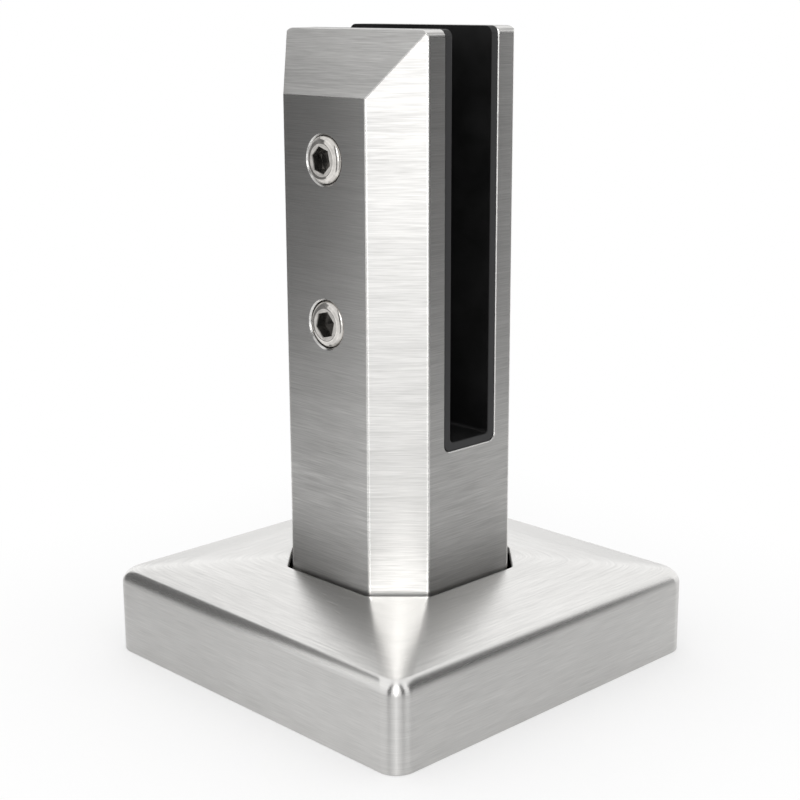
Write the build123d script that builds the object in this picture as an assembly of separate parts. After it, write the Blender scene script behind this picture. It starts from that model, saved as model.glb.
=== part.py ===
from build123d import *
from math import radians, sqrt, tan
import os

os.makedirs("parts", exist_ok=True)

# A friction-clamp spigot that holds a glass railing panel. One casting makes the post and the
# flange that is bolted to the floor. The glass stands in a slot lined with one rubber channel.
# Two socket screws in the front jaw press a plate against the rubber, and a square cover drops
# over the post and hides the flange.
# Millimetres. +Z is up, the screws face -Y and the glass runs along X.
# The origin is at the middle of the underside.

# Post
post_width = 50.0
post_depth = 50.0
post_chamfer = 10.5
front_jaw_height = 162.5
back_jaw_rise = 0.6
slope_height = 15.5
top_corner_radius = 2.0
edge_radius = 0.4

# Slot for the glass
slot_width = 18.0
slot_depth = 101.5
slot_corner_radius = 2.0
slot_rim_bevel = 0.2

# Core that hollows the post from below
core_wall = 9.0
core_corner_cut = 6.0
core_roof = 9.0
core_draft = 1.5
core_edge_radius = 3.0

# Cover over the flange
cover_width = 108.0
cover_height = 25.8
cover_wall = 2.0
cover_top_slope = 7.8
cover_corner_radius = 5.5
cover_shoulder_radius = 3.6
cover_hem_bevel = 0.4
cover_hole_clearance = 1.3
cover_hole_corner_radius = 2.0
cover_hole_land = 0.8
cover_hole_rim_bevel = 0.4

# Flange bolted to the floor
flange_thickness = 12.0
flange_clearance = 0.3
flange_edge_bevel = 1.0
post_root_radius = 3.0
bolt_spacing = 76.0
bolt_hole_diameter = 11.0
bolt_hole_bevel = 0.6

# Rubber channel in the slot
gasket_wall = 2.25
gasket_floor = 2.25
gasket_inner_radius = 1.0
gasket_corner_ease = 0.3
gasket_end_inset = 0.15
gasket_end_bevel = 0.3

# Pressure plate in a pocket of the front jaw
plate_width = 36.0
plate_height = 66.0
plate_thickness = 4.0
plate_corner_radius = 5.0
plate_edge_bevel = 0.4
pocket_clearance = 0.3

# Clamp screws
screw_diameter = 11.9
screw_length = 12.4
screw_hole_clearance = 0.05
screw_hole_bevel = 0.4
screw_spacing = 40.0
screw_middle_height = 112.0
screw_face_diameter = 8.0
screw_cone_height = 0.9
screw_shoulder_step = 0.3
screw_shoulder_depth = 0.8
screw_tip_bevel = 1.2
socket_across_flats = 6.0
socket_depth = 3.0
socket_drill_depth = 1.4
socket_lead_in = 0.25
upper_socket_turn = 13.0
lower_socket_turn = 44.0
upper_screw_slack = 0.5

# Heights and faces that several pieces share
back_jaw_height = front_jaw_height + back_jaw_rise
slot_floor = front_jaw_height - slot_depth
slot_wall = slot_width / 2
front_face = -post_depth / 2
plate_back = -slot_wall - plate_thickness
pocket_floor = plate_back - pocket_clearance
upper_screw_height = screw_middle_height + screw_spacing / 2
lower_screw_height = screw_middle_height - screw_spacing / 2
from_below = (Align.CENTER, Align.CENTER, Align.MIN)


def facing_front(y, z):
    """Plane at y and z that faces the front, with X to the right and Z up."""
    return Plane((0, y, z), x_dir=(1, 0, 0), z_dir=(0, -1, 0))


def post_section(grow):
    """Eight-sided section of the post, with every side moved outwards by grow."""
    square = Rectangle(post_width + 2 * grow, post_depth + 2 * grow)
    return chamfer(square.vertices(), post_chamfer + grow * (2 - sqrt(2)))


def jaw_front_view(width, height):
    """A jaw seen from the front, with its two top corners rounded."""
    outline = Rectangle(width, height, align=(Align.CENTER, Align.MIN))
    top_corners = outline.vertices().sort_by(Axis.Y)[-2:]
    return Plane.XZ * fillet(top_corners, top_corner_radius)


def jaw(height, side):
    """Half of the post from the middle plane outwards, with its sloped top. Side is -1 or 1."""
    outer = side * post_depth / 2
    crest = side * (post_depth / 2 - post_chamfer)
    slope_foot = height - slope_height
    corners = [(0, 0), (outer, 0), (outer, slope_foot), (crest, height), (0, height)]
    side_view = Plane.YZ * make_face(Polyline(*corners, close=True))
    block = extrude(post_section(0), height)
    block = block & extrude(side_view, post_width, both=True)
    return block & extrude(jaw_front_view(post_width, height), post_depth, both=True)


def slot_outline(width, floor, corner_radius):
    """Side view of a slot that is open at its top, with rounded lower corners."""
    top = back_jaw_height + edge_radius
    outline = Rectangle(width, top - floor, align=(Align.CENTER, Align.MIN))
    lower_corners = outline.vertices().sort_by(Axis.Y)[:2]
    return Plane.YZ * (Pos(0, floor) * fillet(lower_corners, corner_radius))


# Casting


def slot_rim(post):
    """Edges round the slot on both side faces and along the inner tops of the jaws."""
    side_line = post_width / 2 - top_corner_radius
    top_line = front_jaw_height - edge_radius
    inner = post.edges().filter_by(lambda e: abs(e.center().Y) < slot_wall + edge_radius)
    above_floor = inner.filter_by(lambda e: e.center().Z > slot_floor - edge_radius)
    return above_floor.filter_by(lambda e: abs(e.center().X) > side_line or e.center().Z > top_line)


def root_edges(post):
    """Edges where the post rises from the flange."""
    reach = max(post_width, post_depth) / 2 + edge_radius
    band = (flange_thickness - edge_radius / 2, flange_thickness + edge_radius / 2)
    at_flange = post.edges().filter_by_position(Axis.Z, *band)
    return at_flange.filter_by(lambda e: max(abs(e.center().X), abs(e.center().Y)) < reach)


def flange():
    """Square flange inside the cover, with four bolt holes."""
    inset = cover_wall + flange_clearance
    width = cover_width - 2 * inset
    hole_radius = bolt_hole_diameter / 2
    plate = extrude(RectangleRounded(width, width, cover_corner_radius - inset), flange_thickness)
    plate = chamfer(plate.faces().sort_by(Axis.Z)[-1].edges(), flange_edge_bevel)
    hole = Cylinder(hole_radius, flange_thickness, align=from_below)
    bevel = Cone(hole_radius, hole_radius + bolt_hole_bevel, bolt_hole_bevel, align=from_below)
    hole += Pos(0, 0, flange_thickness - bolt_hole_bevel) * bevel
    for spot in GridLocations(bolt_spacing, bolt_spacing, 2, 2):
        plate -= spot * hole
    return plate


def core():
    """Drafted hollow that opens at the underside of the post."""
    mouth = Rectangle(post_width - 2 * core_wall, post_depth - 2 * core_wall)
    mouth = chamfer(mouth.vertices(), core_corner_cut)
    hollow = extrude(mouth, slot_floor - core_roof, taper=core_draft)
    return fillet(hollow.faces().sort_by(Axis.Z)[-1].edges(), core_edge_radius)


def plate_pocket():
    """Recess in the front jaw that the pressure plate slides in."""
    width = plate_width + 2 * pocket_clearance
    height = plate_height + 2 * pocket_clearance
    mouth = RectangleRounded(width, height, plate_corner_radius + pocket_clearance)
    return facing_front(-slot_wall, screw_middle_height) * extrude(mouth, -slot_wall - pocket_floor)


def screw_hole():
    """Threaded hole at its major diameter, with a bevelled mouth, from the front face inwards."""
    radius = screw_diameter / 2 + screw_hole_clearance
    length = pocket_floor - front_face
    hole = Pos(0, 0, -length) * Cylinder(radius, length, align=from_below)
    bevel = Cone(radius, radius + screw_hole_bevel, screw_hole_bevel, align=from_below)
    return hole + Pos(0, 0, -screw_hole_bevel) * bevel


def post_casting():
    """Post and flange, cast in one piece."""
    post = jaw(front_jaw_height, -1) + jaw(back_jaw_height, 1)
    outer_edges = post.edges().filter_by(lambda e: abs(e.center().Y) > slot_wall)
    post = fillet(outer_edges.filter_by(lambda e: e.center().Z > flange_thickness), edge_radius)
    slot = slot_outline(slot_width, slot_floor, slot_corner_radius)
    post -= extrude(slot, post_width, both=True)
    post = chamfer(slot_rim(post), slot_rim_bevel)
    post += flange()
    post = fillet(root_edges(post), post_root_radius)
    post -= core()
    post -= plate_pocket()
    for height in (upper_screw_height, lower_screw_height):
        post -= facing_front(front_face, height) * screw_hole()
    return post


# Cover


def crowned_block(width, height, corner_radius, shoulder_radius):
    """Square block whose top slopes up from its rounded shoulders to a flat round the hole."""
    margin = cover_hole_clearance + cover_hole_land
    crest_width = post_width + 2 * margin
    crest_depth = post_depth + 2 * margin
    shoulder = height - (width - crest_width) / 2 * tan(radians(cover_top_slope))
    outline = RectangleRounded(width, width, corner_radius)
    crest = RectangleRounded(crest_width, crest_depth, post_chamfer)
    block = extrude(outline, shoulder)
    block += loft([Pos(0, 0, shoulder) * outline, Pos(0, 0, height) * crest], ruled=True)
    shoulder_edges = block.edges().filter_by_position(Axis.Z, shoulder, shoulder)
    return fillet(shoulder_edges, shoulder_radius)


def base_cover():
    """Pressed cover with an eight-sided hole for the post."""
    inner_width = cover_width - 2 * cover_wall
    inner_corner = cover_corner_radius - cover_wall
    inner_shoulder = cover_shoulder_radius - cover_wall
    cover = crowned_block(cover_width, cover_height, cover_corner_radius, cover_shoulder_radius)
    hem = cover.faces().sort_by(Axis.Z)[0].edges()
    cover = chamfer(hem, cover_hem_bevel)
    cover -= crowned_block(inner_width, cover_height - cover_wall, inner_corner, inner_shoulder)
    hole = post_section(cover_hole_clearance)
    hole = fillet(hole.vertices(), cover_hole_corner_radius)
    cover -= extrude(hole, cover_height)
    rim = cover.faces().sort_by(Axis.Z)[-1].inner_wires()[0].edges()
    return chamfer(rim, cover_hole_rim_bevel)


# Rubber channel


def gasket_half(height, side):
    """Half of the solid that fills the slot, up to the top of the jaw on that side."""
    length = post_width - 2 * gasket_end_inset
    half = extrude(jaw_front_view(length, height), -side * slot_wall)
    outline = slot_outline(slot_width, slot_floor, slot_corner_radius + gasket_corner_ease)
    return half & extrude(outline, length, both=True)


def glass_gasket():
    """Channel with two legs and a floor, moulded as one strip."""
    inner_width = slot_width - 2 * gasket_wall
    room = slot_outline(inner_width, slot_floor + gasket_floor, gasket_inner_radius)
    channel = gasket_half(front_jaw_height, -1) + gasket_half(back_jaw_height, 1)
    channel -= extrude(room, post_width, both=True)
    ends = channel.faces().filter_by(Axis.X).edges()
    return chamfer(ends, gasket_end_bevel)


# Clamp


def pressure_plate():
    """Plate that spreads the push of the screws over the rubber."""
    outline = RectangleRounded(plate_width, plate_height, plate_corner_radius)
    plate = facing_front(-slot_wall, screw_middle_height) * extrude(outline, plate_thickness)
    return chamfer(plate.faces().filter_by(Axis.Y).edges(), plate_edge_bevel)


def clamp_screw(height, slack, socket_turn):
    """Socket set screw with a coned end. Slack is how far its tip stands off the plate."""
    radius = screw_diameter / 2
    shoulder_radius = radius - screw_shoulder_step
    tip = front_face - plate_back + slack
    face = tip + screw_length
    cone_foot = face - screw_cone_height
    profile = Polyline(
        (0, tip),
        (radius - screw_tip_bevel, tip),
        (radius, tip + screw_tip_bevel),
        (radius, cone_foot - screw_shoulder_depth),
        (shoulder_radius, cone_foot),
        (screw_face_diameter / 2, face),
        (0, face),
        close=True,
    )
    screw = revolve(Plane.XZ * make_face(profile), Axis.Z)
    screw -= Pos(0, 0, face) * key_socket(socket_turn)
    return facing_front(front_face, height) * screw


def key_socket(turn):
    """Hexagonal socket with a drilled bottom and a countersunk mouth at z = 0."""
    flat = socket_across_flats / 2
    hexagon = RegularPolygon(flat, 6, major_radius=False, rotation=turn)
    socket = extrude(hexagon, -socket_depth)
    drill = Cone(0, flat, socket_drill_depth, align=from_below)
    socket += Pos(0, 0, -socket_depth - socket_drill_depth) * drill
    mouth = Cone(flat, flat + socket_lead_in, socket_lead_in, align=from_below)
    return socket + Pos(0, 0, -socket_lead_in) * mouth


pieces = {
    "post_casting": post_casting(),
    "base_cover": base_cover(),
    "glass_gasket": glass_gasket(),
    "pressure_plate": pressure_plate(),
    "upper_clamp_screw": clamp_screw(upper_screw_height, upper_screw_slack, upper_socket_turn),
    "lower_clamp_screw": clamp_screw(lower_screw_height, 0, lower_socket_turn),
}
for name, piece in pieces.items():
    export_step(piece, f"parts/{name}.step")
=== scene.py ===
import bmesh
import bpy
from math import cos, e, pi, radians, sin, tan
from mathutils import Matrix, Vector


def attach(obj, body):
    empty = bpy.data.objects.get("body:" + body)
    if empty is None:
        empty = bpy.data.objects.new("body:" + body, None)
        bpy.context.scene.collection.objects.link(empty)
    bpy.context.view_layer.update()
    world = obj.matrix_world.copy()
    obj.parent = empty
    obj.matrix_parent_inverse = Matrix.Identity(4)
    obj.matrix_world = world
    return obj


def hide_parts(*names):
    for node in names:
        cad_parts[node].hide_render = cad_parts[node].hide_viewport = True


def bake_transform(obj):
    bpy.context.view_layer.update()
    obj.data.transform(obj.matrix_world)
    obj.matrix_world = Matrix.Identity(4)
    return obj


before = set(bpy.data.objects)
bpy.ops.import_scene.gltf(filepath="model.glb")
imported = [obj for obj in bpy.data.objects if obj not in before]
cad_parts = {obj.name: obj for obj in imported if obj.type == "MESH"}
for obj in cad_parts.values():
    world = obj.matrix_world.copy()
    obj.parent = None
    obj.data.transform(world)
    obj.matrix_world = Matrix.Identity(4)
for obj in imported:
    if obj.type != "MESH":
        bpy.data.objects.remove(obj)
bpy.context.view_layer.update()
scene = bpy.context.scene
mm = 0.001
touch = 0.01 * mm    # two heights this near count as the same
merge = 0.002 * mm   # and two points this near become one


# selecting and shaping, the way it is done by hand

def deselectAll():
    bpy.ops.object.select_all(action="DESELECT")


def makeActive(piece):
    deselectAll()
    piece.select_set(True)
    bpy.context.view_layer.objects.active = piece


def startEdit(piece, kind):
    makeActive(piece)
    bpy.ops.object.mode_set(mode="EDIT")
    bpy.ops.mesh.select_mode(type=kind)
    bpy.ops.mesh.select_all(action="DESELECT")


def endEdit():
    bpy.ops.object.mode_set(mode="OBJECT")


def pickFaces(piece, wanted):
    # wanted gets a face's middle and its normal
    bpy.ops.mesh.select_mode(type="FACE")
    bpy.ops.mesh.select_all(action="DESELECT")
    shape = bmesh.from_edit_mesh(piece.data)
    for face in shape.faces:
        face.select_set(bool(wanted(face.calc_center_median(), face.normal)))
    bmesh.update_edit_mesh(piece.data)


def pickEdges(piece, wanted):
    # wanted gets an edge's two ends and the angle between its faces
    bpy.ops.mesh.select_mode(type="EDGE")
    bpy.ops.mesh.select_all(action="DESELECT")
    shape = bmesh.from_edit_mesh(piece.data)
    shape.normal_update()
    for edge in shape.edges:
        turn = edge.calc_face_angle(0)
        edge.select_set(bool(wanted(edge.verts[0].co, edge.verts[1].co, turn)))
    bmesh.update_edit_mesh(piece.data)


def applyModifier(piece, kind, **settings):
    makeActive(piece)
    modifier = piece.modifiers.new("step", kind)
    for setting, value in settings.items():
        setattr(modifier, setting, value)
    bpy.ops.object.modifier_apply(modifier="step")


def applyPlace(piece):
    makeActive(piece)
    bpy.ops.object.transform_apply(location=True, rotation=True, scale=True)


def copyOf(piece, name):
    made = piece.copy()
    made.data = piece.data.copy()
    made.name = name
    scene.collection.objects.link(made)
    return made


def addBlock(name, low, high):
    deselectAll()
    middle = [(a + b) / 2 for a, b in zip(low, high)]
    bpy.ops.mesh.primitive_cube_add(size=1, location=middle)
    block = bpy.context.object
    block.name = name
    block.scale = [b - a for a, b in zip(low, high)]
    applyPlace(block)
    return block


def cutAway(piece, cutter, operation="DIFFERENCE"):
    applyModifier(piece, "BOOLEAN", operation=operation, solver="EXACT", object=cutter)
    bpy.data.objects.remove(cutter)


def finishShading(piece, angle):
    makeActive(piece)
    bpy.ops.object.mode_set(mode="EDIT")
    bpy.ops.mesh.select_all(action="SELECT")
    bpy.ops.mesh.remove_doubles(threshold=merge)
    bpy.ops.mesh.normals_make_consistent(inside=False)
    endEdit()
    bpy.ops.object.shade_smooth_by_angle(angle=radians(angle))
    applyModifier(piece, "WEIGHTED_NORMAL", keep_sharp=True, weight=80)


def dress(piece, material):
    piece.data.materials.clear()
    piece.data.materials.append(material)


# materials and their nodes

def addMaterial(name):
    made = bpy.data.materials.new(name)
    made.use_nodes = True
    return made, made.node_tree


def addNode(tree, kind, **settings):
    made = tree.nodes.new(kind)
    for setting, value in settings.items():
        setattr(made, setting, value)
    return made


def feed(tree, node, *values):
    # fills the inputs in their order, and None leaves one as it is
    for socket, value in zip(node.inputs, values):
        if hasattr(value, "is_linked"):
            tree.links.new(value, socket)
        elif value is not None:
            socket.default_value = value
    return node.outputs[0]


def maths(tree, operation, *values, clamp=False):
    return feed(tree, addNode(tree, "ShaderNodeMath", operation=operation, use_clamp=clamp), *values)


def times(tree, first, second):
    return maths(tree, "MULTIPLY", first, second)


def unsigned(tree, value):
    return maths(tree, "ABSOLUTE", value)


def vectorMaths(tree, operation, *values):
    return feed(tree, addNode(tree, "ShaderNodeVectorMath", operation=operation), *values)


def scaled(tree, vector, factor):
    return vectorMaths(tree, "SCALE", vector, None, None, factor)


def parted(tree, vector):
    # its x, y and z
    split = addNode(tree, "ShaderNodeSeparateXYZ")
    tree.links.new(vector, split.inputs[0])
    return split.outputs


def combine(tree, x, y, z):
    return feed(tree, addNode(tree, "ShaderNodeCombineXYZ"), x, y, z)


def noise(tree, vector, detail, roughness):
    made = addNode(tree, "ShaderNodeTexNoise", noise_dimensions="3D")
    tree.links.new(vector, made.inputs["Vector"])
    made.inputs["Scale"].default_value = 1
    made.inputs["Detail"].default_value = detail
    made.inputs["Roughness"].default_value = roughness
    return made.outputs[0]


def between(tree, value, low, high, toLow, toHigh):
    made = addNode(tree, "ShaderNodeMapRange", clamp=True)
    return feed(tree, made, value, low, high, toLow, toHigh)


def mixColour(tree, factor, first, second):
    made = addNode(tree, "ShaderNodeMix", data_type="RGBA")  # its colours are on sockets 6 and 7
    for socket, value in ((made.inputs[0], factor), (made.inputs[6], first), (made.inputs[7], second)):
        if hasattr(value, "is_linked"):
            tree.links.new(value, socket)
        else:
            socket.default_value = value
    return made.outputs[2]


def addBump(tree, height, depth, strength=1, under=None):
    # under is the bump of a larger form, which this one lies on
    made = addNode(tree, "ShaderNodeBump")
    made.inputs["Strength"].default_value = strength
    made.inputs["Distance"].default_value = depth
    tree.links.new(height, made.inputs["Height"])
    if under:
        tree.links.new(under, made.inputs["Normal"])
    return made.outputs[0]


def objectPlace(tree):
    return addNode(tree, "ShaderNodeTexCoord").outputs["Object"]


def surfaceNormal(tree):
    return addNode(tree, "ShaderNodeNewGeometry").outputs["Normal"]


def grey(level, tint=(1, 1, 1)):
    return (level * tint[0], level * tint[1], level * tint[2], 1)


print("camera")

camera = {
    "place": (288.405, -279.965, 169.699),
    "yaw": 45.841,
    "pitch": 14.127,             # how steeply it looks down
    "roll": -0.219,
    "lens": 72.035,
    "sensor": 36,
    "seesFrom": 0.01,
    "seesTo": 30,
}


def addCamera():
    deselectAll()
    bpy.ops.object.camera_add(location=[v * mm for v in camera["place"]])
    made = bpy.context.object
    turn = Matrix.Rotation(radians(camera["yaw"]), 3, "Z")
    turn = turn @ Matrix.Rotation(radians(90 - camera["pitch"]), 3, "X")
    turn = turn @ Matrix.Rotation(radians(camera["roll"]), 3, "Z")
    made.rotation_euler = turn.to_euler()
    made.data.lens = camera["lens"]
    made.data.sensor_width = camera["sensor"]
    made.data.clip_start = camera["seesFrom"]
    made.data.clip_end = camera["seesTo"]
    scene.camera = made


addCamera()
scene.view_settings.view_transform = "Standard"


print("studio")

studio = {
    "floorHalfWidth": 3.0,
    "floorGrey": 0.97,
    "floorGlow": 0.35,           # share of the floor that shows as plain white, at the object
    "floorFade": (0.058, 0.15),  # metres from the middle where that share starts to grow, and is all
    "worldLight": 0.95,          # what falls on the object
    "worldShown": 1.0,           # and what shows in the picture and in the gloss
    "frontBoxPower": 2.3,
    "frontBoxDistance": 1.3,
    "frontBoxAngle": 45,         # turned from the front towards the right side
    "frontBoxLift": 36,
    "frontBoxSize": (0.4, 0.75),
}
# upright cards that only show in the gloss, with the angle counted in the same way
cards = [
    dict(name="leftCard", angle=-61, distance=0.27, width=0.22, bottom=0, top=0.32, glow=0.13),
    dict(name="rightCard", angle=118, distance=0.27, width=0.22, bottom=0, top=0.32, glow=0.11),
    dict(name="leftFlag", angle=25, distance=0.17, width=0.034, bottom=0, top=0.34, glow=0.1),
    dict(name="rightFlag", angle=65, distance=0.17, width=0.034, bottom=0, top=0.34, glow=0.1),
    dict(name="brightStrip", angle=45, distance=2.4, width=0.24, bottom=0, top=1.6, glow=3.7),
]


def shownDirectly(tree):
    path = addNode(tree, "ShaderNodeLightPath")
    seen = maths(tree, "ADD", path.outputs["Is Camera Ray"], path.outputs["Is Glossy Ray"])
    return maths(tree, "ADD", seen, path.outputs["Is Transmission Ray"], clamp=True)


def addWorld():
    world = bpy.data.worlds.new("studioRoom")
    world.use_nodes = True
    tree = world.node_tree
    background = tree.nodes["Background"]
    background.inputs["Color"].default_value = (1, 1, 1, 1)
    level = between(tree, shownDirectly(tree), 0, 1, studio["worldLight"], studio["worldShown"])
    tree.links.new(level, background.inputs["Strength"])
    scene.world = world


def addFloor():
    deselectAll()
    bpy.ops.mesh.primitive_plane_add(size=2 * studio["floorHalfWidth"])
    floor = bpy.context.object
    floor.name = "studioFloor"
    paint, tree = addMaterial("paleFloor")
    tree.nodes.remove(tree.nodes["Principled BSDF"])
    matt = addNode(tree, "ShaderNodeBsdfDiffuse")
    matt.inputs["Color"].default_value = grey(studio["floorGrey"])
    glow = addNode(tree, "ShaderNodeEmission")
    glow.inputs["Color"].default_value = (1, 1, 1, 1)
    mix = addNode(tree, "ShaderNodeMixShader")
    x, y = parted(tree, objectPlace(tree))[:2]
    reach = maths(tree, "MAXIMUM", unsigned(tree, x), unsigned(tree, y))
    white = between(tree, reach, *studio["floorFade"], studio["floorGlow"], 1)
    share = times(tree, shownDirectly(tree), white)
    tree.links.new(share, mix.inputs[0])
    tree.links.new(matt.outputs[0], mix.inputs[1])
    tree.links.new(glow.outputs[0], mix.inputs[2])
    tree.links.new(mix.outputs[0], tree.nodes["Material Output"].inputs["Surface"])
    floor.data.materials.append(paint)


def addFrontBox():
    aside, up = radians(studio["frontBoxAngle"]), radians(studio["frontBoxLift"])
    away = Vector((sin(aside) * cos(up), -cos(aside) * cos(up), sin(up)))
    deselectAll()
    bpy.ops.object.light_add(type="AREA", location=away * studio["frontBoxDistance"])
    box = bpy.context.object
    box.rotation_euler = away.to_track_quat("Z", "Y").to_euler()
    box.data.shape = "RECTANGLE"
    box.data.size, box.data.size_y = studio["frontBoxSize"]
    box.data.energy = studio["frontBoxPower"]


def addCard(name, angle, distance, width, bottom, top, glow):
    aside = radians(angle)
    middle = Vector((distance * sin(aside), -distance * cos(aside), (bottom + top) / 2))
    deselectAll()
    bpy.ops.mesh.primitive_plane_add(size=1, location=middle)
    card = bpy.context.object
    card.name = name
    card.scale = (width, top - bottom, 1)
    card.rotation_euler = (radians(90), 0, aside)
    applyPlace(card)
    paint, tree = addMaterial(name)
    tree.nodes.remove(tree.nodes["Principled BSDF"])
    light = addNode(tree, "ShaderNodeEmission")
    light.inputs["Color"].default_value = grey(1)
    light.inputs["Strength"].default_value = glow
    tree.links.new(light.outputs[0], tree.nodes["Material Output"].inputs["Surface"])
    card.data.materials.append(paint)
    card.visible_camera = False
    card.visible_diffuse = False
    card.visible_shadow = False


addWorld()
addFloor()
addFrontBox()
for card in cards:
    addCard(**card)


print("materials")

# widths, lengths, sizes, depths and radii are in mm in all the finishes
brushedFinish = {
    "light": 0.68,
    "dark": 0.44,
    "tint": (1.0, 0.99, 0.97),
    "roughness": 0.33,
    "roughnessSpread": 0.04,
    "stretch": 0.88,             # how much wider the gloss is across the lines
    "lineWidth": 0.22,
    "lineLength": 9.0,
    "lineShare": 0.65,           # how much of the shade comes from the lines
    "lineStrength": 0.5,
    "lineDepth": 0.012,
    "bandWidth": 1.8,
    "bandLength": 60.0,
    "bandShare": 0.2,
    "cloudSize": 22.0,
    "cloudShare": 0.15,
    "contrast": (0.3, 0.7),      # the noise that gives the darkest and the lightest shade
    "paintedLightScale": 1.35,           # painted highlight on its rounded edges and beside the chamfers: how much lighter, and how much smoother
    "partRoughness": -0.08,
    "highlightLine": (9.7, 10.0, 10.8, 11.0),  # the painted highlight line beside the chamfers grows, is full, and fades
    "slopeNormal": 0.561,        # height of the normal of the sloped tops
}
coverFinish = dict(
    brushedFinish,
    light=0.93,
    dark=0.72,
    roughness=0.25,
    roughnessSpread=0.025,
    lineDepth=0.004,
    paintedLightScale=0.72,              # painted shade on its upright sides, how much darker
    partRoughness=0.10,
    mitreWidth=2.0,              # how softly the lines turn on the diagonals
    dome=((30, 3.0), (45, 8.5)),  # degrees that the gloss leans more, at two distances from the middle
)


# both ways of brushing give x and y, a measure across the lines, the way along them and a dome

def levelLines(tree, place, normal):
    # lines run level round the post and along X on its tops
    x, y, z = parted(tree, place)
    flat = between(tree, parted(tree, normal)[2], 0.9, 0.98, 0, 1)
    across = maths(tree, "MULTIPLY_ADD", y, flat, z)
    along = vectorMaths(tree, "CROSS_PRODUCT", (0, 0, 1), normal)
    along = vectorMaths(tree, "ADD", along, (0.002, 0, 0))  # decides it where the normal is upright
    return x, y, across, along, None


def mitredLines(tree, place, normal):
    # lines run level round the sides of the cover, and on its top along the nearest edge,
    # with a soft turn on the diagonals
    x, y, z = parted(tree, place)
    soft = coverFinish["mitreWidth"] * mm
    farX, farY = (times(tree, v, 1 / soft) for v in (x, y))
    total = maths(tree, "ADD", maths(tree, "COSH", farX), maths(tree, "COSH", farY))
    inwards = times(tree, maths(tree, "LOGARITHM", total, e), -soft)  # grows from the edges to the hole
    normalX, normalY, normalZ = parted(tree, normal)
    flat = between(tree, normalZ, 0.5, 0.95, 0, 1)
    across = maths(tree, "MULTIPLY_ADD", inwards, flat, z)
    leanX = maths(tree, "DIVIDE", maths(tree, "SINH", farX), total)
    leanY = maths(tree, "DIVIDE", maths(tree, "SINH", farY), total)
    leanX = maths(tree, "MULTIPLY_ADD", leanX, flat, normalX)
    leanY = maths(tree, "MULTIPLY_ADD", leanY, flat, normalY)
    along = vectorMaths(tree, "CROSS_PRODUCT", (0, 0, 1), combine(tree, leanX, leanY, 0))

    # height of the dome, whose slope grows evenly with the distance from the middle
    (near, nearSlope), (far, farSlope) = coverFinish["dome"]
    growth = (tan(radians(farSlope)) - tan(radians(nearSlope))) / ((far - near) * mm)
    slope = tan(radians(nearSlope)) - growth * near * mm
    dome = maths(tree, "MULTIPLY_ADD", inwards, -growth / 2, slope)
    dome = times(tree, times(tree, inwards, dome), flat)
    return x, y, across, along, dome


def paintedEdgeHighlights(tree, place, normal):
    # a painted highlight: one on the rounded edges of the post, where the normal is between two faces,
    # and in a narrow band beside the upright edges of the chamfers
    x, y, z = parted(tree, normal)
    squares = maths(tree, "SUBTRACT", times(tree, x, x), times(tree, y, y))
    turn = times(tree, times(tree, x, y), squares)  # none on a side or a chamfer
    upright = between(tree, unsigned(tree, turn), 0.06, 0.2, 0, 1)
    upright = times(tree, upright, between(tree, z, 0.05, 0.3, 1, 0))
    offSlope = maths(tree, "SUBTRACT", z, brushedFinish["slopeNormal"])
    rise = times(tree, times(tree, z, offSlope), maths(tree, "SUBTRACT", z, 1))  # none on a flat face
    level = between(tree, unsigned(tree, rise), 0.012, 0.035, 0, 1)
    rounded = maths(tree, "MAXIMUM", upright, level)

    atX, atY = parted(tree, place)[:2]
    apart = maths(tree, "SUBTRACT", unsigned(tree, atX), unsigned(tree, atY))
    apart = unsigned(tree, apart)
    grows, full, fades, stops = (v * mm for v in brushedFinish["highlightLine"])
    inner = between(tree, apart, grows, full, 0, 1)
    outer = between(tree, apart, fades, stops, 1, 0)
    band = times(tree, inner, outer)
    band = times(tree, band, between(tree, unsigned(tree, z), 0.1, 0.3, 1, 0))
    return maths(tree, "MAXIMUM", rounded, band)


def paintedShadeOnSides(tree, place, normal):
    # painted shade: the upright sides of the cover are made darker
    return between(tree, parted(tree, normal)[2], 0.1, 0.6, 1, 0)


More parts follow.
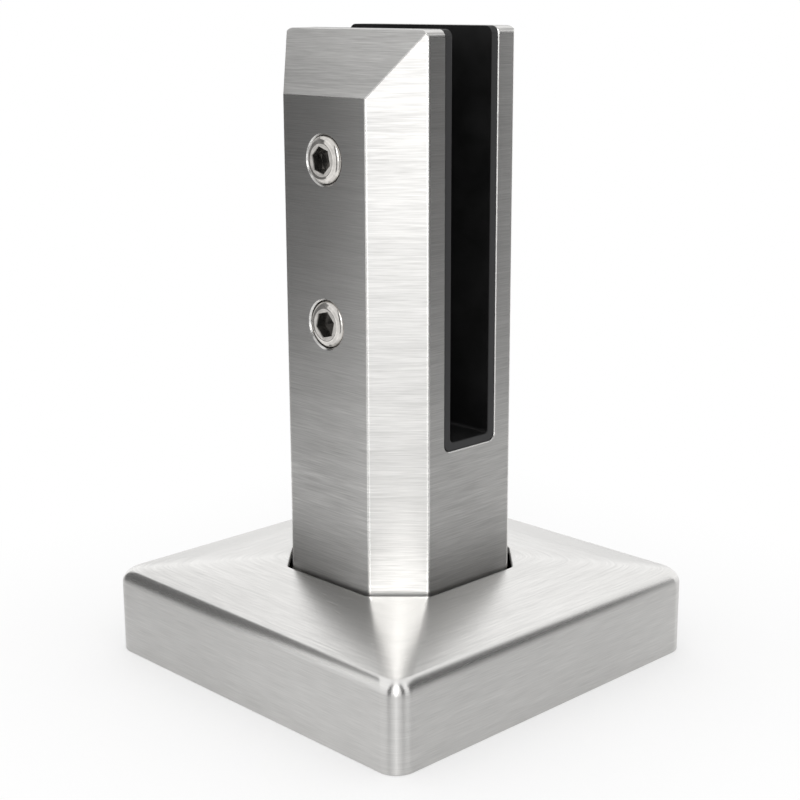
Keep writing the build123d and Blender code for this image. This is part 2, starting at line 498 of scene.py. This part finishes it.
def brushedSteel(name, look, lines, lightOrShadeMask):
    # lines is the way of brushing, and the last argument is a mask of painted light or shade, where the
    # colour is made lighter or darker and the roughness differs
    steel, tree = addMaterial(name)
    shader = tree.nodes["Principled BSDF"]
    place, normal = objectPlace(tree), surfaceNormal(tree)
    x, y, across, along, dome = lines(tree, place, normal)

    def streaks(length, width, detail, roughness):
        lengthways, crossways = 1 / (length * mm), 1 / (width * mm)
        vector = combine(tree, times(tree, x, lengthways), times(tree, y, lengthways),
                         times(tree, across, crossways))
        return noise(tree, vector, detail, roughness)

    low, high = look["contrast"]
    fine = streaks(look["lineLength"], look["lineWidth"], 3, 0.6)
    bands = streaks(look["bandLength"], look["bandWidth"], 2, 0.5)
    clouds = noise(tree, scaled(tree, place, 1 / (look["cloudSize"] * mm)), 2, 0.5)
    mixed = maths(tree, "MULTIPLY_ADD", bands, look["bandShare"], times(tree, fine, look["lineShare"]))
    mixed = maths(tree, "MULTIPLY_ADD", clouds, look["cloudShare"], mixed)
    shade = between(tree, mixed, low, high, 0, 1)
    colour = mixColour(tree, shade, grey(look["dark"], look["tint"]), grey(look["light"], look["tint"]))
    lightOrShade = lightOrShadeMask(tree, place, normal)
    # painted light or shade: the colour is lighter or darker where the mask is
    colour = scaled(tree, colour, between(tree, lightOrShade, 0, 1, 1, look["paintedLightScale"]))
    tree.links.new(colour, shader.inputs["Base Color"])

    dull, glossy = look["roughness"] + look["roughnessSpread"], look["roughness"] - look["roughnessSpread"]
    roughness = between(tree, fine, low, high, dull, glossy)
    roughness = maths(tree, "MULTIPLY_ADD", lightOrShade, look["partRoughness"], roughness)
    tree.links.new(roughness, shader.inputs["Roughness"])
    form = addBump(tree, dome, 1) if dome else None  # the dome's height is in metres
    bump = addBump(tree, fine, look["lineDepth"] * mm, look["lineStrength"], form)
    tree.links.new(bump, shader.inputs["Normal"])
    spread = vectorMaths(tree, "CROSS_PRODUCT", normal, along)  # gloss spreads across the lines
    tree.links.new(vectorMaths(tree, "NORMALIZE", spread), shader.inputs["Tangent"])
    shader.inputs["Metallic"].default_value = 1
    shader.inputs["Anisotropic"].default_value = look["stretch"]
    return steel


rubberFinish = {
    "light": 0.008,
    "dark": 0.004,
    "ends": 0.03,                # its cut ends are paler
    "tint": (1, 1, 1.04),
    "roughness": (0.45, 0.58),
    "gloss": 0.3,
    "dustSize": 9.0,
    "grainSize": 0.35,
    "grainStrength": 0.4,
    "grainDepth": 0.02,
}


def blackRubber():
    look = rubberFinish
    rubber, tree = addMaterial("blackRubber")
    shader = tree.nodes["Principled BSDF"]
    place = objectPlace(tree)
    grain = noise(tree, scaled(tree, place, 1 / (look["grainSize"] * mm)), 3, 0.6)
    dust = noise(tree, scaled(tree, place, 1 / (look["dustSize"] * mm)), 3, 0.6)
    shade = between(tree, dust, 0.35, 0.7, 0, 1)
    dark, light, ends = (grey(look[level], look["tint"]) for level in ("dark", "light", "ends"))
    colour = mixColour(tree, shade, dark, light)
    facing = unsigned(tree, parted(tree, surfaceNormal(tree))[0])
    colour = mixColour(tree, between(tree, facing, 0.6, 0.95, 0, 1), colour, ends)
    tree.links.new(colour, shader.inputs["Base Color"])
    tree.links.new(between(tree, dust, 0.3, 0.7, *look["roughness"]), shader.inputs["Roughness"])
    shader.inputs["Specular IOR Level"].default_value = look["gloss"]
    bump = addBump(tree, grain, look["grainDepth"] * mm, look["grainStrength"])
    tree.links.new(bump, shader.inputs["Normal"])
    return rubber


screwFinish = {
    "light": 0.84,
    "dark": 0.42,
    "tint": (1.0, 0.965, 0.92),
    "metallic": 0.9,
    "roughness": (0.07, 0.17),
    "turningWidth": 0.12,
    "stainSize": 2.2,
    "faceEdge": (3.9, 4.05),     # its flat face ends at this radius, and is rougher and less metallic
    "faceShade": 0.95,
    "faceRoughness": 0.25,
    "faceMetallic": 0.4,
    "socketEdge": (3.45, 3.55),  # its socket ends at this radius, and from this depth on is darker with painted shade and some grease
    "socketStart": (0.15, 0.5),
    "socketShadeAndGrease": 0.3,
}


def polishedSteel(name, middle):
    # turning marks run round the screw's own axis, through the middle of its face
    look = screwFinish
    steel, tree = addMaterial(name)
    shader = tree.nodes["Principled BSDF"]
    place = objectPlace(tree)
    x, y, z = parted(tree, vectorMaths(tree, "SUBTRACT", place, [v * mm for v in middle]))
    radius = maths(tree, "SQRT", maths(tree, "ADD", times(tree, x, x), times(tree, z, z)))
    width = 1 / (look["turningWidth"] * mm)
    marks = combine(tree, times(tree, radius, width), times(tree, y, width), 0)
    marks = noise(tree, marks, 2, 0.5)
    stains = noise(tree, scaled(tree, place, 1 / (look["stainSize"] * mm)), 3, 0.6)
    mixed = maths(tree, "MULTIPLY_ADD", stains, 0.5, times(tree, marks, 0.5))
    shade = between(tree, mixed, 0.35, 0.65, 0, 1)
    colour = mixColour(tree, shade, grey(look["dark"], look["tint"]), grey(look["light"], look["tint"]))

    def upTo(value, limits):
        return between(tree, value, limits[0] * mm, limits[1] * mm, 1, 0)

    # painted shade, with some grease, deeper in the socket
    shallow = upTo(y, look["socketStart"])
    inSocket = times(tree, maths(tree, "SUBTRACT", 1, shallow), upTo(radius, look["socketEdge"]))
    colour = scaled(tree, colour, between(tree, inSocket, 0, 1, 1, look["socketShadeAndGrease"]))
    onFace = times(tree, shallow, upTo(radius, look["faceEdge"]))
    colour = scaled(tree, colour, between(tree, onFace, 0, 1, 1, look["faceShade"]))
    tree.links.new(colour, shader.inputs["Base Color"])
    roughness = between(tree, stains, 0.3, 0.7, *look["roughness"])
    roughness = maths(tree, "MULTIPLY_ADD", onFace, look["faceRoughness"], roughness)
    tree.links.new(roughness, shader.inputs["Roughness"])
    metallic = between(tree, onFace, 0, 1, look["metallic"], look["faceMetallic"])
    tree.links.new(metallic, shader.inputs["Metallic"])
    return steel


print("post and plate")

postSteel = brushedSteel("brushedPost", brushedFinish, levelLines, paintedEdgeHighlights)
coverSteel = brushedSteel("brushedCover", coverFinish, mitredLines, paintedShadeOnSides)
rubber = blackRubber()

dress(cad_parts["post_casting"], postSteel)
dress(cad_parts["pressure_plate"], postSteel)


print("cover")

cover = {
    "width": 108.0,
    "height": 25.8,
    "wall": 2.0,
    "topSlope": 7.8,             # how steeply the top falls from the hole to the edges
    "crestWidth": 54.2,          # the flat rim round the hole, where the slopes start
    "crestRadius": 10.5,
    "cornerRadius": 5.5,
    "cornerSteps": 12,           # the same on crest and corners, so that they can be bridged
    "shoulderRadius": 3.6,
    "shoulderSteps": 10,
    "holeWidth": 52.6,
    "holeChamfer": 11.26,
    "holeCornerRadius": 2.0,
    "holeCornerSteps": 4,
    "holeCut": (15, 35),         # heights of the cutter's two ends
    "hem": 0.4,                  # rounding of the bottom edge and of the rim
    "rim": 0.4,
    "rimSteps": 3,
    "sharp": 60,                 # only edges that turn by more are rounded
}


def addShell():
    c = cover
    half, top, steps = c["width"] / 2, c["height"], c["cornerSteps"]
    shoulder = top - (half - c["crestWidth"] / 2) * tan(radians(c["topSlope"]))
    shell = addBlock("squareCover", (-half * mm, -half * mm, 0), (half * mm, half * mm, shoulder * mm))
    startEdit(shell, "EDGE")
    pickEdges(shell, lambda a, b, turn: abs(a.z - b.z) > mm)
    bpy.ops.mesh.bevel(offset=c["cornerRadius"] * mm, segments=steps, profile=0.5, affect="EDGES")
    pickFaces(shell, lambda middle, normal: normal.z > 0.9)
    bpy.ops.mesh.delete(type="FACE")
    endEdit()

    deselectAll()
    bpy.ops.mesh.primitive_plane_add(size=c["crestWidth"] * mm, location=(0, 0, top * mm))
    crest = bpy.context.object
    applyPlace(crest)
    startEdit(crest, "VERT")
    bpy.ops.mesh.select_all(action="SELECT")
    bpy.ops.mesh.bevel(offset=c["crestRadius"] * mm, segments=steps, profile=0.5, affect="VERTICES")
    endEdit()
    makeActive(shell)
    crest.select_set(True)
    bpy.ops.object.join()

    # the sloped top, and then its rounded shoulders
    startEdit(shell, "EDGE")
    low = shoulder * mm - touch
    pickEdges(shell, lambda a, b, turn: min(a.z, b.z) > low)
    bpy.ops.mesh.bridge_edge_loops()
    pickEdges(shell, lambda a, b, turn: min(a.z, b.z) > low and max(a.z, b.z) < low + 2 * touch)
    reach = c["shoulderRadius"] * tan(radians(90 - c["topSlope"]) / 2)
    bpy.ops.mesh.bevel(offset=reach * mm, segments=c["shoulderSteps"], profile=0.5, affect="EDGES")
    bpy.ops.mesh.select_all(action="SELECT")
    bpy.ops.mesh.normals_make_consistent(inside=False)
    endEdit()
    return shell


def addHoleCutter():
    c = cover
    half = c["holeWidth"] / 2 * mm
    low, high = (v * mm for v in c["holeCut"])
    cutter = addBlock("holeCutter", (-half, -half, low), (half, half, high))
    rounding = c["holeCornerRadius"] * tan(pi / 8)  # how far a corner of the eight is cut back
    startEdit(cutter, "EDGE")
    for offset, steps in ((c["holeChamfer"], 1), (rounding, c["holeCornerSteps"])):
        pickEdges(cutter, lambda a, b, turn: abs(a.z - b.z) > mm)
        bpy.ops.mesh.bevel(offset=offset * mm, segments=steps, profile=0.5, affect="EDGES")
    endEdit()
    return cutter


def addCover():
    c = cover
    shell = addShell()
    cutAway(shell, addHoleCutter())

    # the underside and the walls of the hole go, and the rest gets its wall
    rim = c["height"] * mm - touch
    inside = (c["holeWidth"] / 2 + 1) * mm
    startEdit(shell, "FACE")
    pickFaces(shell, lambda middle, normal: normal.z < -0.9 or (
        max(abs(middle.x), abs(middle.y)) < inside and middle.z < rim))
    bpy.ops.mesh.delete(type="FACE")
    endEdit()
    applyModifier(shell, "SOLIDIFY", thickness=c["wall"] * mm, offset=-1, use_even_offset=True, use_rim=True)
    startEdit(shell, "EDGE")
    sharp = radians(c["sharp"])
    pickEdges(shell, lambda a, b, turn: turn > sharp and max(a.z, b.z) < touch)
    bpy.ops.mesh.bevel(offset=c["hem"] * mm, segments=c["rimSteps"], profile=0.5, affect="EDGES")
    pickEdges(shell, lambda a, b, turn: turn > sharp and min(a.z, b.z) > rim)
    bpy.ops.mesh.bevel(offset=c["rim"] * mm, segments=c["rimSteps"], profile=0.5, affect="EDGES")
    endEdit()
    finishShading(shell, 35)
    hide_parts("base_cover")
    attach(shell, "cover")
    dress(shell, coverSteel)


addCover()


print("rubber channel")

channel = {
    "length": 49.7,
    "slotWidth": 18.0,
    "wall": 2.25,
    "floor": 61.0,
    "frontTop": 162.5,
    "backTop": 163.1,
    "outerRadius": 2.3,
    "topRadius": 2.0,
    "outerSteps": 6,
    "innerRadius": 1.0,
    "innerSteps": 4,
    "endBevel": 0.35,
    "endSteps": 3,
    "sharp": 50,                 # only edges that turn by more are rounded
    "legFoot": 64.5,             # the front leg bends between these heights
    "bendTop": 79.0,
    "bendCuts": 9,
}


def addStrip():
    c = channel
    end, side = c["length"] / 2 * mm, c["slotWidth"] / 2 * mm
    floor, top = c["floor"] * mm, c["backTop"] * mm
    strip = addBlock("rubberChannel", (-end, -side, floor), (end, side, top))
    startEdit(strip, "EDGE")
    pickEdges(strip, lambda a, b, turn: abs(a.x - b.x) > end and max(a.z, b.z) < floor + mm)
    bpy.ops.mesh.bevel(offset=c["outerRadius"] * mm, segments=c["outerSteps"], profile=0.5, affect="EDGES")
    pickEdges(strip, lambda a, b, turn: abs(a.y - b.y) > side and min(a.z, b.z) > top - mm)
    bpy.ops.mesh.bevel(offset=c["topRadius"] * mm, segments=c["outerSteps"], profile=0.5, affect="EDGES")
    endEdit()

    wall = c["wall"] * mm
    inner = side - wall
    cutter = addBlock("roomCutter", (-2 * end, -inner, floor + wall), (2 * end, inner, top + 10 * mm))
    startEdit(cutter, "EDGE")
    pickEdges(cutter, lambda a, b, turn: abs(a.x - b.x) > end and max(a.z, b.z) < top)
    bpy.ops.mesh.bevel(offset=c["innerRadius"] * mm, segments=c["innerSteps"], profile=0.5, affect="EDGES")
    endEdit()
    cutAway(strip, cutter)

    # the front leg is a little lower, and both cut ends lose their sharp edges
    startEdit(strip, "VERT")
    shape = bmesh.from_edit_mesh(strip.data)
    for corner in shape.verts:
        corner.select_set(corner.co.z > top - 5 * mm and corner.co.y < 0)
    bmesh.update_edit_mesh(strip.data)
    bpy.ops.transform.translate(value=(0, 0, (c["frontTop"] - c["backTop"]) * mm))
    sharp = radians(c["sharp"])
    pickEdges(strip, lambda a, b, turn: turn > sharp and min(abs(a.x), abs(b.x)) > end - touch)
    bpy.ops.mesh.bevel(offset=c["endBevel"] * mm, segments=c["endSteps"], profile=0.5, affect="EDGES")
    endEdit()
    return strip


def addChannel():
    # the front leg is a piece of its own, and meets the rest in a flush seam
    c = channel
    strip = addStrip()
    leg = copyOf(strip, "rubberFrontLeg")
    reach, foot, bend = c["length"] * mm, c["legFoot"] * mm, c["bendTop"] * mm
    low, high = (-reach, -reach, foot), (reach, 0, 2 * c["backTop"] * mm)
    cutAway(strip, addBlock("legCutter", low, high))
    cutAway(leg, addBlock("legRoom", low, high), "INTERSECT")
    startEdit(leg, "EDGE")
    for step in range(1, c["bendCuts"] + 1):  # cuts across the leg, up to the top of the bend
        height = foot + (bend - foot) * step / c["bendCuts"]
        bpy.ops.mesh.select_all(action="SELECT")
        bpy.ops.mesh.bisect(plane_co=(0, 0, height), plane_no=(0, 0, 1))
    endEdit()
    for piece in (strip, leg):
        finishShading(piece, 35)
        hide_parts("glass_gasket")
        dress(piece, rubber)
    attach(strip, "spigot")
    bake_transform(leg)


addChannel()


print("screws")

screw = {
    "radius": 5.95,
    "length": 12.4,
    "shoulder": 0.3,
    "shoulderDepth": 0.8,
    "coneHeight": 0.9,           # from the shoulder up to the flat face
    "faceRadius": 4.0,
    "crown": 0.22,               # how far the flank bulges over a straight cone
    "crownLean": (0.45, 0.89),   # how much of that goes outwards and upwards
    "crownSteps": 8,
    "tipBevel": 1.2,
    "acrossFlats": 6.0,
    "socketDepth": 3.0,
    "drillRadius": 2.95,
    "drillDepth": 1.4,
    "drillSides": 48,
    "sides": 96,
}
# heights over the floor, where the tips stand, and how far each has been turned
screwPlaces = [
    dict(name="upperScrew", height=132, tip=-13.5, turn=13, body="upper_screw", node="upper_clamp_screw"),
    dict(name="lowerScrew", height=92, tip=-13.0, turn=44, body="lower_screw", node="lower_clamp_screw"),
]


def flankSteps():
    # widths and rises of the rings that make the crowned flank
    s = screw
    outer, inner = s["radius"] - s["shoulder"], s["faceRadius"]
    outwards, upwards = s["crownLean"]
    points = []
    for step in range(s["crownSteps"] + 1):
        share = step / s["crownSteps"]
        bulge = s["crown"] * sin(pi * share)
        radius = outer + (inner - outer) * share + bulge * outwards
        points.append((radius, s["coneHeight"] * share + bulge * upwards))
    return [(a[0] - b[0], b[1] - a[1]) for a, b in zip(points, points[1:])]


def addScrew():
    s = screw
    low = (s["length"] - s["coneHeight"] - s["shoulderDepth"]) * mm
    deselectAll()
    bpy.ops.mesh.primitive_cylinder_add(vertices=s["sides"], radius=s["radius"] * mm, depth=low,
                                        location=(0, 0, low / 2))
    body = bpy.context.object
    applyPlace(body)
    startEdit(body, "FACE")
    pickFaces(body, lambda middle, normal: normal.z > 0.9)
    bpy.ops.mesh.inset(thickness=s["shoulder"] * mm, depth=s["shoulderDepth"] * mm)
    for width, rise in flankSteps():
        bpy.ops.mesh.inset(thickness=width * mm, depth=rise * mm)
    pickEdges(body, lambda a, b, turn: max(a.z, b.z) < touch and turn > radians(60))
    bpy.ops.mesh.bevel(offset=s["tipBevel"] * mm, segments=1, affect="EDGES")
    endEdit()

    # the socket is a hexagon with the cone of the drill under it
    top, flat = s["length"] * mm, s["acrossFlats"] / 2 * mm
    socket, wide, deep = s["socketDepth"] * mm, s["drillRadius"] * mm, s["drillDepth"] * mm
    deselectAll()
    bpy.ops.mesh.primitive_cylinder_add(vertices=6, radius=flat / cos(pi / 6), depth=2 * socket,
                                        location=(0, 0, top))
    hexagon = bpy.context.object
    applyPlace(hexagon)
    cutAway(body, hexagon)
    deselectAll()
    bpy.ops.mesh.primitive_cone_add(vertices=s["drillSides"], radius1=0, radius2=wide, depth=deep,
                                    location=(0, 0, top + touch - socket - deep / 2))
    drill = bpy.context.object
    applyPlace(drill)
    cutAway(body, drill)
    return body


def placeScrew(screwBody, name, height, tip, turn, body, node):
    placed = copyOf(screwBody, name)
    place = Matrix.Translation((0, tip * mm, height * mm))
    level = Matrix.Rotation(radians(90), 4, "X")
    placed.matrix_world = place @ level @ Matrix.Rotation(radians(turn), 4, "Z")
    applyPlace(placed)
    finishShading(placed, 30)
    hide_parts(node)
    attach(placed, body)
    dress(placed, polishedSteel(name, (0, tip - screw["length"], height)))


plainScrew = addScrew()
for screwPlace in screwPlaces:
    placeScrew(plainScrew, **screwPlace)
bpy.data.objects.remove(plainScrew)

print("finished")
